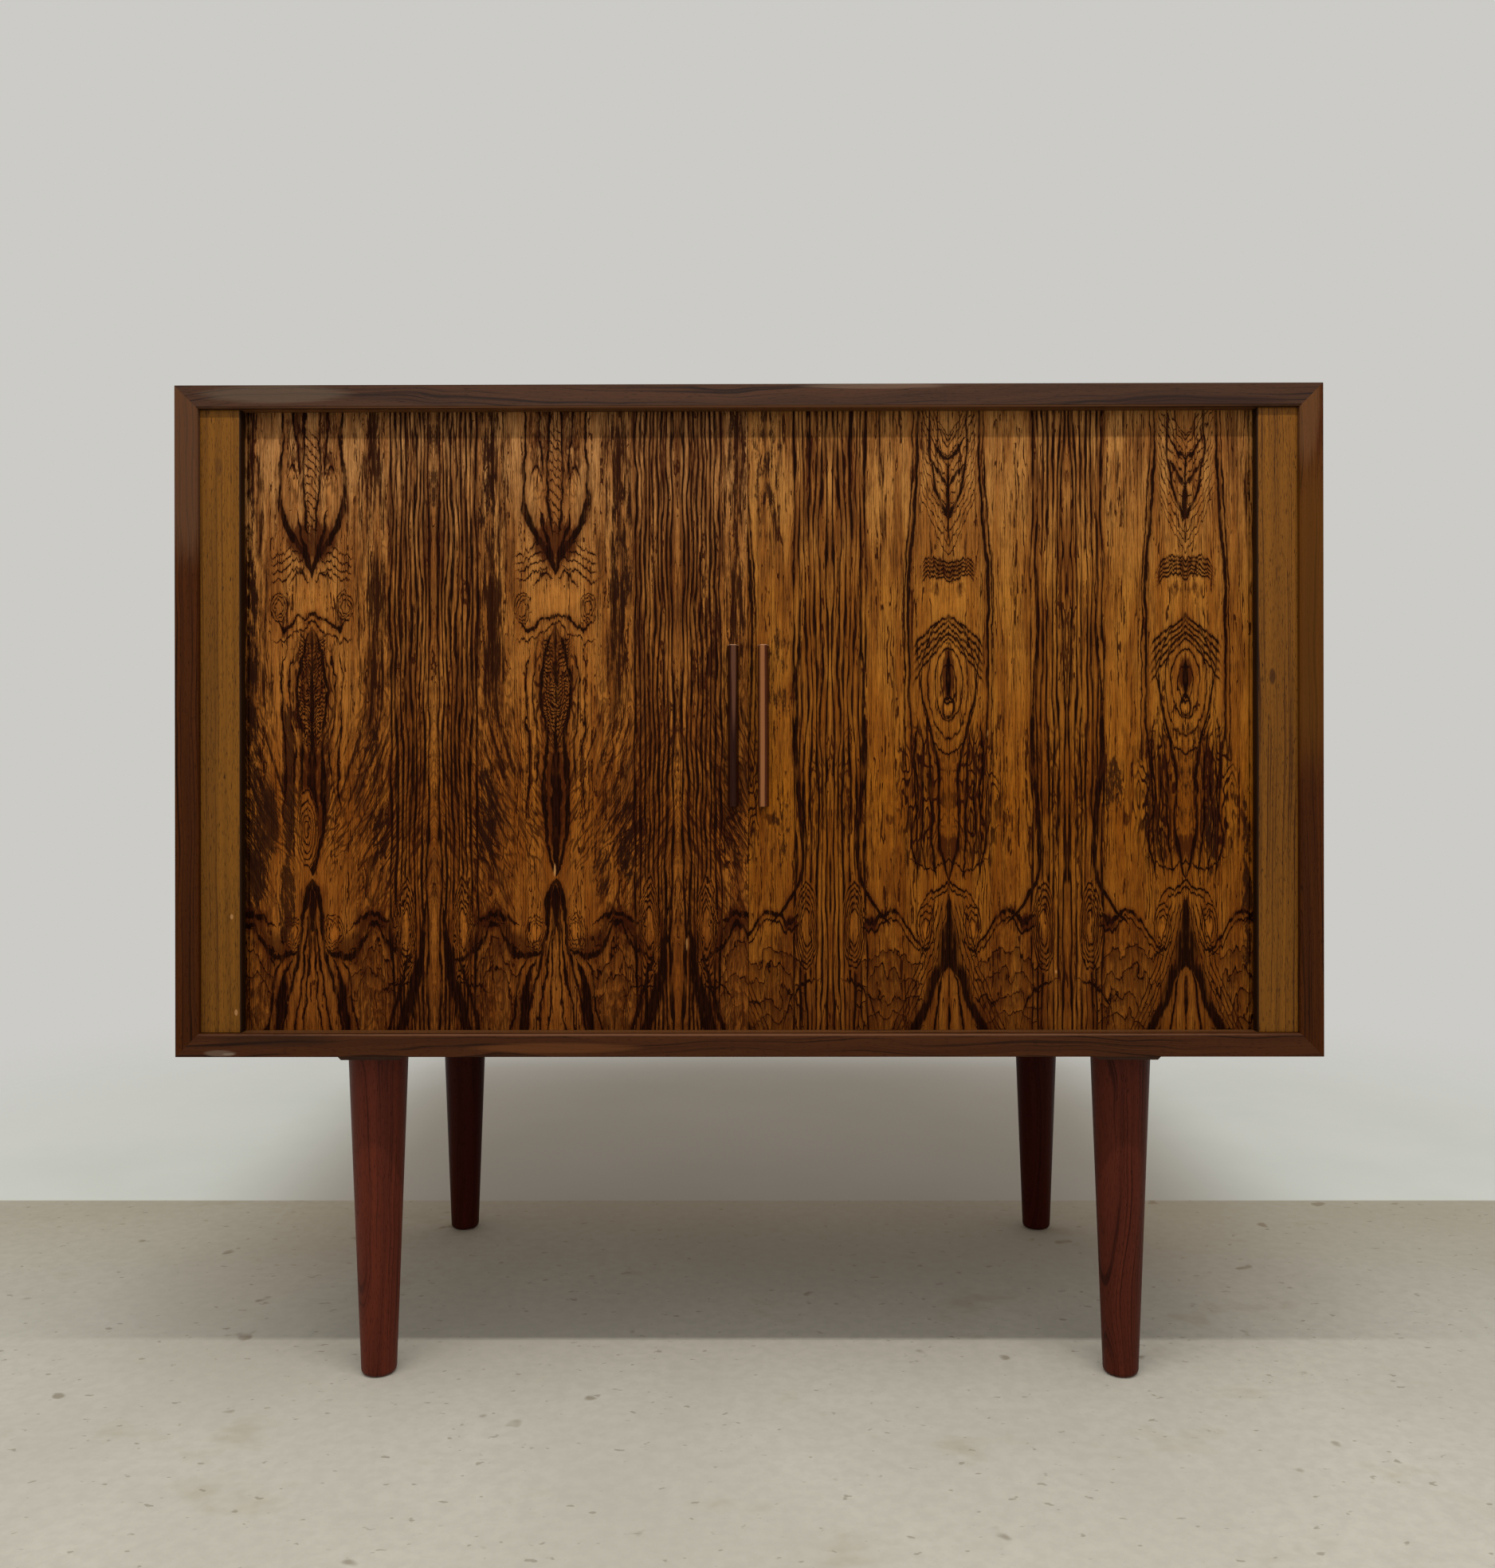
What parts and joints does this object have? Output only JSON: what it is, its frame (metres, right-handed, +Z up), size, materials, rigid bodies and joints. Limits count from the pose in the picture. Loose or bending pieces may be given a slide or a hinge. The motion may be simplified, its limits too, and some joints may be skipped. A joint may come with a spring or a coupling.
{
  "type": "tambour door cabinet",
  "caption": "Low cabinet on round tapered legs: mitred veneered case, pair of sliding tambour doors with bar handles, inner shelf.",
  "frame": {"origin": "on the floor, under the middle of the case", "axes": "+X to the right as seen from the front, +Y to the back, +Z up"},
  "size_m": [0.9, 0.45, 0.798],
  "materials": {
    "case_veneer": "satin oiled",
    "edge_band": "satin oiled",
    "pilaster_wood": "satin oiled",
    "door_veneer": "satin oiled",
    "handle_wood": "satin oiled",
    "leg_wood": "satin",
    "inside_wood": "matt",
    "back_board": "matt",
    "hidden_wood": "raw",
    "door_canvas": "matt",
    "screw_steel": "satin",
    "brass_pin": "satin"
  },
  "bodies": {
    "case": {"top_panel": "case_veneer", "bottom_panel": "case_veneer", "left_side_panel": "case_veneer", "right_side_panel": "case_veneer", "back_panel": "back_board", "top_lipping": "edge_band", "bottom_lipping": "edge_band", "left_lipping": "edge_band", "right_lipping": "edge_band", "left_pilaster": "pilaster_wood", "right_pilaster": "pilaster_wood", "left_partition": "inside_wood", "right_partition": "inside_wood", "shelf": "inside_wood", "shelf_pins": "brass_pin", "left_leg_rail": "edge_band", "right_leg_rail": "edge_band", "front_left_leg": "leg_wood", "front_right_leg": "leg_wood", "rear_left_leg": "leg_wood", "rear_right_leg": "leg_wood", "leg_bolts": "screw_steel", "rail_screws": "screw_steel", "back_screws": "screw_steel", "pilaster_dowels": "hidden_wood", "mitre_splines": "hidden_wood"},
    "left_door_lead": {"left_door_stile": "door_veneer", "left_door_handle": "handle_wood", "left_door_handle_screws": "screw_steel"},
    "left_door_curtain": {"left_door_tambour_slats": "door_veneer", "left_door_tambour_canvas": "door_canvas"},
    "left_door_corner_1": {"left_door_corner_slat_1": "door_veneer"},
    "left_door_corner_2": {"left_door_corner_slat_2": "door_veneer"},
    "left_door_corner_3": {"left_door_corner_slat_3": "door_veneer"},
    "left_door_corner_4": {"left_door_corner_slat_4": "door_veneer"},
    "left_door_corner_5": {"left_door_corner_slat_5": "door_veneer"},
    "left_door_tail_1": {"left_door_tail_slat_1": "door_veneer"},
    "left_door_tail_2": {"left_door_tail_slat_2": "door_veneer"},
    "left_door_tail_3": {"left_door_tail_slat_3": "door_veneer"},
    "left_door_tail_4": {"left_door_tail_slat_4": "door_veneer"},
    "left_door_tail_5": {"left_door_tail_slat_5": "door_veneer"},
    "right_door_lead": {"right_door_stile": "door_veneer", "right_door_handle": "handle_wood", "right_door_handle_screws": "screw_steel"},
    "right_door_curtain": {"right_door_tambour_slats": "door_veneer", "right_door_tambour_canvas": "door_canvas"},
    "right_door_corner_1": {"right_door_corner_slat_1": "door_veneer"},
    "right_door_corner_2": {"right_door_corner_slat_2": "door_veneer"},
    "right_door_corner_3": {"right_door_corner_slat_3": "door_veneer"},
    "right_door_corner_4": {"right_door_corner_slat_4": "door_veneer"},
    "right_door_corner_5": {"right_door_corner_slat_5": "door_veneer"},
    "right_door_tail_1": {"right_door_tail_slat_1": "door_veneer"},
    "right_door_tail_2": {"right_door_tail_slat_2": "door_veneer"},
    "right_door_tail_3": {"right_door_tail_slat_3": "door_veneer"},
    "right_door_tail_4": {"right_door_tail_slat_4": "door_veneer"},
    "right_door_tail_5": {"right_door_tail_slat_5": "door_veneer"}
  },
  "joints": [
    {"name": "left_door_slide", "type": "slide", "parent": "case", "child": "left_door_lead", "axis": [-1, 0, 0], "range_m": [0, 0.3784]},
    {"name": "left_door_curtain_turn", "type": "hinge", "parent": "case", "child": "left_door_curtain", "pos_m": [-0.22999, -0.00779, 0.5], "axis": [0, 0, -1], "range_deg": [0, 90], "deforming": ["left_door_tambour_slats", "left_door_tambour_canvas"]},
    {"name": "left_door_corner_1_turn", "type": "hinge", "parent": "case", "child": "left_door_corner_1", "pos_m": [-0.21019, 2.20107, 0.5], "axis": [0, 0, -1], "range_deg": [0, 9], "deforming": ["left_door_corner_slat_1"]},
    {"name": "left_door_corner_2_turn", "type": "hinge", "parent": "case", "child": "left_door_corner_2", "pos_m": [-0.21459, 0.58559, 0.5], "axis": [0, 0, -1], "range_deg": [0, 27], "deforming": ["left_door_corner_slat_2"]},
    {"name": "left_door_corner_3_turn", "type": "hinge", "parent": "case", "child": "left_door_corner_3", "pos_m": [-0.21899, 0.25522, 0.5], "axis": [0, 0, -1], "range_deg": [0, 45], "deforming": ["left_door_corner_slat_3"]},
    {"name": "left_door_corner_4_turn", "type": "hinge", "parent": "case", "child": "left_door_corner_4", "pos_m": [-0.22339, 0.10863, 0.5], "axis": [0, 0, -1], "range_deg": [0, 63], "deforming": ["left_door_corner_slat_4"]},
    {"name": "left_door_corner_5_turn", "type": "hinge", "parent": "case", "child": "left_door_corner_5", "pos_m": [-0.22779, 0.02335, 0.5], "axis": [0, 0, -1], "range_deg": [0, 81], "deforming": ["left_door_corner_slat_5"]},
    {"name": "left_door_tail_1_turn", "type": "hinge", "parent": "case", "child": "left_door_tail_1", "pos_m": [-0.19885, -0.00559, 0.5], "axis": [0, 0, -1], "range_deg": [0, 81], "deforming": ["left_door_tail_slat_1"]},
    {"name": "left_door_tail_2_turn", "type": "hinge", "parent": "case", "child": "left_door_tail_2", "pos_m": [-0.11357, -0.00119, 0.5], "axis": [0, 0, -1], "range_deg": [0, 63], "deforming": ["left_door_tail_slat_2"]},
    {"name": "left_door_tail_3_turn", "type": "hinge", "parent": "case", "child": "left_door_tail_3", "pos_m": [0.03302, 0.00321, 0.5], "axis": [0, 0, -1], "range_deg": [0, 45], "deforming": ["left_door_tail_slat_3"]},
    {"name": "left_door_tail_4_turn", "type": "hinge", "parent": "case", "child": "left_door_tail_4", "pos_m": [0.3634, 0.00761, 0.5], "axis": [0, 0, -1], "range_deg": [0, 27], "deforming": ["left_door_tail_slat_4"]},
    {"name": "left_door_tail_5_turn", "type": "hinge", "parent": "case", "child": "left_door_tail_5", "pos_m": [1.97887, 0.01201, 0.5], "axis": [0, 0, -1], "range_deg": [0, 9], "deforming": ["left_door_tail_slat_5"]},
    {"name": "right_door_slide", "type": "slide", "parent": "case", "child": "right_door_lead", "axis": [1, 0, 0], "range_m": [0, 0.3784]},
    {"name": "right_door_curtain_turn", "type": "hinge", "parent": "case", "child": "right_door_curtain", "pos_m": [0.22999, -0.00779, 0.5], "axis": [0, 0, 1], "range_deg": [0, 90], "deforming": ["right_door_tambour_slats", "right_door_tambour_canvas"]},
    {"name": "right_door_corner_1_turn", "type": "hinge", "parent": "case", "child": "right_door_corner_1", "pos_m": [0.21019, 2.20107, 0.5], "axis": [0, 0, 1], "range_deg": [0, 9], "deforming": ["right_door_corner_slat_1"]},
    {"name": "right_door_corner_2_turn", "type": "hinge", "parent": "case", "child": "right_door_corner_2", "pos_m": [0.21459, 0.58559, 0.5], "axis": [0, 0, 1], "range_deg": [0, 27], "deforming": ["right_door_corner_slat_2"]},
    {"name": "right_door_corner_3_turn", "type": "hinge", "parent": "case", "child": "right_door_corner_3", "pos_m": [0.21899, 0.25522, 0.5], "axis": [0, 0, 1], "range_deg": [0, 45], "deforming": ["right_door_corner_slat_3"]},
    {"name": "right_door_corner_4_turn", "type": "hinge", "parent": "case", "child": "right_door_corner_4", "pos_m": [0.22339, 0.10863, 0.5], "axis": [0, 0, 1], "range_deg": [0, 63], "deforming": ["right_door_corner_slat_4"]},
    {"name": "right_door_corner_5_turn", "type": "hinge", "parent": "case", "child": "right_door_corner_5", "pos_m": [0.22779, 0.02335, 0.5], "axis": [0, 0, 1], "range_deg": [0, 81], "deforming": ["right_door_corner_slat_5"]},
    {"name": "right_door_tail_1_turn", "type": "hinge", "parent": "case", "child": "right_door_tail_1", "pos_m": [0.19885, -0.00559, 0.5], "axis": [0, 0, 1], "range_deg": [0, 81], "deforming": ["right_door_tail_slat_1"]},
    {"name": "right_door_tail_2_turn", "type": "hinge", "parent": "case", "child": "right_door_tail_2", "pos_m": [0.11357, -0.00119, 0.5], "axis": [0, 0, 1], "range_deg": [0, 63], "deforming": ["right_door_tail_slat_2"]},
    {"name": "right_door_tail_3_turn", "type": "hinge", "parent": "case", "child": "right_door_tail_3", "pos_m": [-0.03302, 0.00321, 0.5], "axis": [0, 0, 1], "range_deg": [0, 45], "deforming": ["right_door_tail_slat_3"]},
    {"name": "right_door_tail_4_turn", "type": "hinge", "parent": "case", "child": "right_door_tail_4", "pos_m": [-0.3634, 0.00761, 0.5], "axis": [0, 0, 1], "range_deg": [0, 27], "deforming": ["right_door_tail_slat_4"]},
    {"name": "right_door_tail_5_turn", "type": "hinge", "parent": "case", "child": "right_door_tail_5", "pos_m": [-1.97887, 0.01201, 0.5], "axis": [0, 0, 1], "range_deg": [0, 9], "deforming": ["right_door_tail_slat_5"]}
  ],
  "couplings": [
    {"joint": "left_door_curtain_turn", "follows": "left_door_slide", "rad_per_m": 4.1512},
    {"joint": "left_door_corner_1_turn", "follows": "left_door_slide", "rad_per_m": 0.41512},
    {"joint": "left_door_corner_2_turn", "follows": "left_door_slide", "rad_per_m": 1.2453},
    {"joint": "left_door_corner_3_turn", "follows": "left_door_slide", "rad_per_m": 2.0756},
    {"joint": "left_door_corner_4_turn", "follows": "left_door_slide", "rad_per_m": 2.9058},
    {"joint": "left_door_corner_5_turn", "follows": "left_door_slide", "rad_per_m": 3.736},
    {"joint": "left_door_tail_1_turn", "follows": "left_door_slide", "rad_per_m": 3.736},
    {"joint": "left_door_tail_2_turn", "follows": "left_door_slide", "rad_per_m": 2.9058},
    {"joint": "left_door_tail_3_turn", "follows": "left_door_slide", "rad_per_m": 2.0756},
    {"joint": "left_door_tail_4_turn", "follows": "left_door_slide", "rad_per_m": 1.2453},
    {"joint": "left_door_tail_5_turn", "follows": "left_door_slide", "rad_per_m": 0.41512},
    {"joint": "right_door_curtain_turn", "follows": "right_door_slide", "rad_per_m": 4.1512},
    {"joint": "right_door_corner_1_turn", "follows": "right_door_slide", "rad_per_m": 0.41512},
    {"joint": "right_door_corner_2_turn", "follows": "right_door_slide", "rad_per_m": 1.2453},
    {"joint": "right_door_corner_3_turn", "follows": "right_door_slide", "rad_per_m": 2.0756},
    {"joint": "right_door_corner_4_turn", "follows": "right_door_slide", "rad_per_m": 2.9058},
    {"joint": "right_door_corner_5_turn", "follows": "right_door_slide", "rad_per_m": 3.736},
    {"joint": "right_door_tail_1_turn", "follows": "right_door_slide", "rad_per_m": 3.736},
    {"joint": "right_door_tail_2_turn", "follows": "right_door_slide", "rad_per_m": 2.9058},
    {"joint": "right_door_tail_3_turn", "follows": "right_door_slide", "rad_per_m": 2.0756},
    {"joint": "right_door_tail_4_turn", "follows": "right_door_slide", "rad_per_m": 1.2453},
    {"joint": "right_door_tail_5_turn", "follows": "right_door_slide", "rad_per_m": 0.41512}
  ]
}
